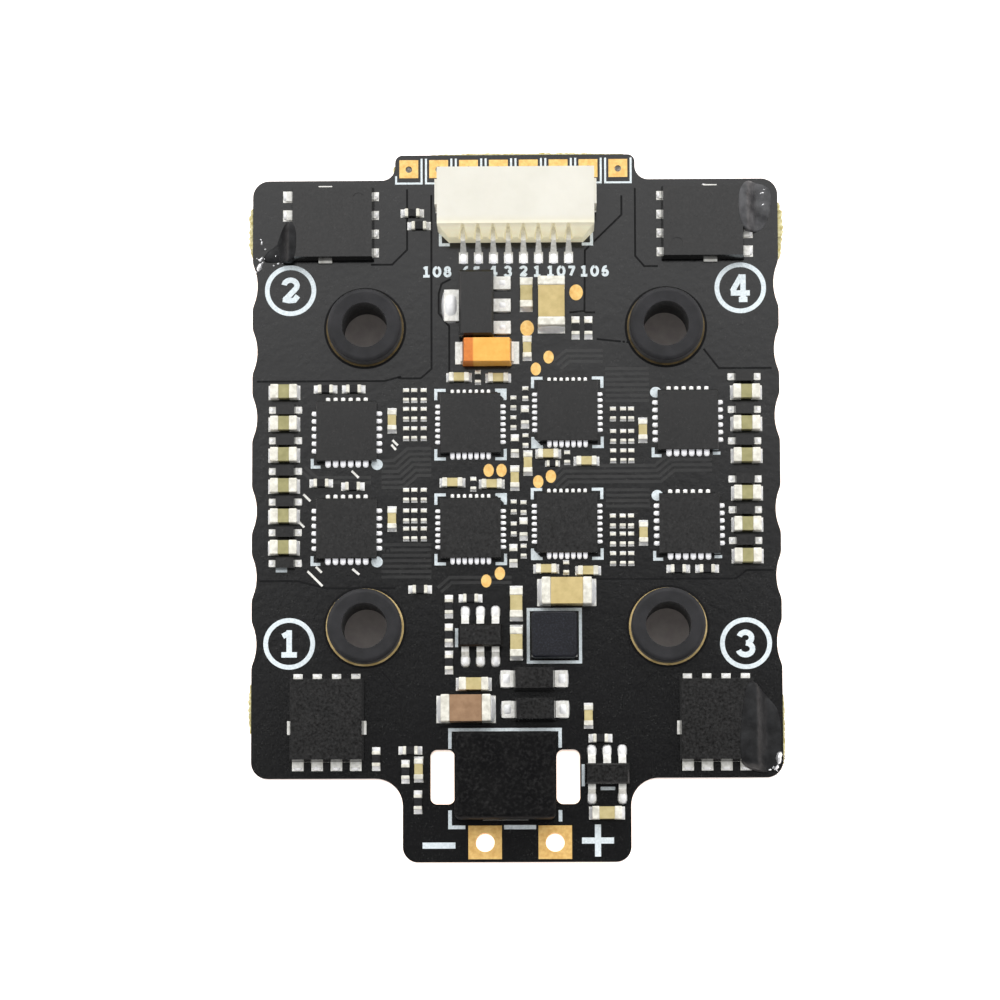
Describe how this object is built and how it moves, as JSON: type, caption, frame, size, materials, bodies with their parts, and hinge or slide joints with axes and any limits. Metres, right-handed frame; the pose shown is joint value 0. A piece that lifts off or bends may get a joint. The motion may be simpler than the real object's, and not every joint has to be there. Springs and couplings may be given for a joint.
{
  "type": "electronic speed controller",
  "caption": "Square-mount electronic speed controller board for multirotor motors, with a signal plug socket at one end and battery pads at the other.",
  "frame": {"origin": "centre of the square mounting hole pattern, on the underside of the circuit board", "axes": "+Z out of the component side, +Y towards the signal connector, +X to the right seen from above"},
  "size_m": [0.035, 0.0472, 0.006],
  "materials": {
    "laminate": "satin black solder mask over glass-epoxy laminate",
    "gold_pad": "gold plated copper",
    "tinned_land": "tinned copper",
    "rubber": "soft black rubber",
    "bulk_ceramic": "beige ceramic",
    "brown_ceramic": "brown ceramic",
    "olive_ceramic": "olive ceramic",
    "tan_ceramic": "tan ceramic",
    "black_glaze": "black glazed resistor film",
    "end_cap": "tinned end cap",
    "orange_resin": "orange moulded resin",
    "tinned_lead": "tinned copper lead",
    "package_black": "black moulding compound",
    "inductor_grey": "dark grey pressed ferrite",
    "suppressor_black": "black moulding compound",
    "connector_cream": "cream nylon"
  },
  "bodies": {
    "root": {"battery_pads": "gold_pad", "boot_capacitor_bodies": "olive_ceramic", "boot_capacitor_caps": "end_cap", "boot_diode_bodies": "package_black", "boot_diode_leads": "tinned_lead", "bottom_transistor_bodies": "package_black", "bottom_transistor_leads": "tinned_lead", "buck_converter_body": "package_black", "buck_converter_leads": "tinned_lead", "bulk_capacitor_bodies": "bulk_ceramic", "bulk_capacitor_caps": "end_cap", "circuit_board": "laminate", "connector_housing": "connector_cream", "connector_lands": "tinned_land", "connector_pins": "tinned_lead", "connector_tabs": "tinned_lead", "current_amplifier_body": "package_black", "current_amplifier_leads": "tinned_lead", "divider_resistor_bodies": "black_glaze", "divider_resistor_caps": "end_cap", "filter_capacitor_body": "brown_ceramic", "filter_capacitor_caps": "end_cap", "freewheel_diode_bodies": "package_black", "freewheel_diode_leads": "tinned_lead", "gate_driver_bodies": "package_black", "gate_driver_terminals": "tinned_lead", "grommets": "rubber", "inductor_core": "inductor_grey", "inductor_terminals": "tinned_lead", "medium_capacitor_bodies": "tan_ceramic", "medium_capacitor_caps": "end_cap", "microcontroller_bodies": "package_black", "microcontroller_terminals": "tinned_lead", "motor_pads": "gold_pad", "mounting_rings": "gold_pad", "passive_lands": "tinned_land", "power_pads": "gold_pad", "regulator_body": "package_black", "regulator_leads": "tinned_lead", "resistor_bodies": "black_glaze", "resistor_caps": "end_cap", "shunt_body": "black_glaze", "shunt_caps": "end_cap", "signal_pads": "gold_pad", "small_capacitor_bodies": "tan_ceramic", "small_capacitor_caps": "end_cap", "suppressor_body": "suppressor_black", "suppressor_terminals": "tinned_lead", "tantalum_body": "orange_resin", "tantalum_terminals": "tinned_lead", "test_pads": "gold_pad", "top_transistor_bodies": "package_black", "top_transistor_leads": "tinned_lead", "transistor_lands": "tinned_land", "underside_capacitor_bodies": "olive_ceramic", "underside_capacitor_caps": "end_cap", "underside_lands": "tinned_land"}
  },
  "joints": []
}
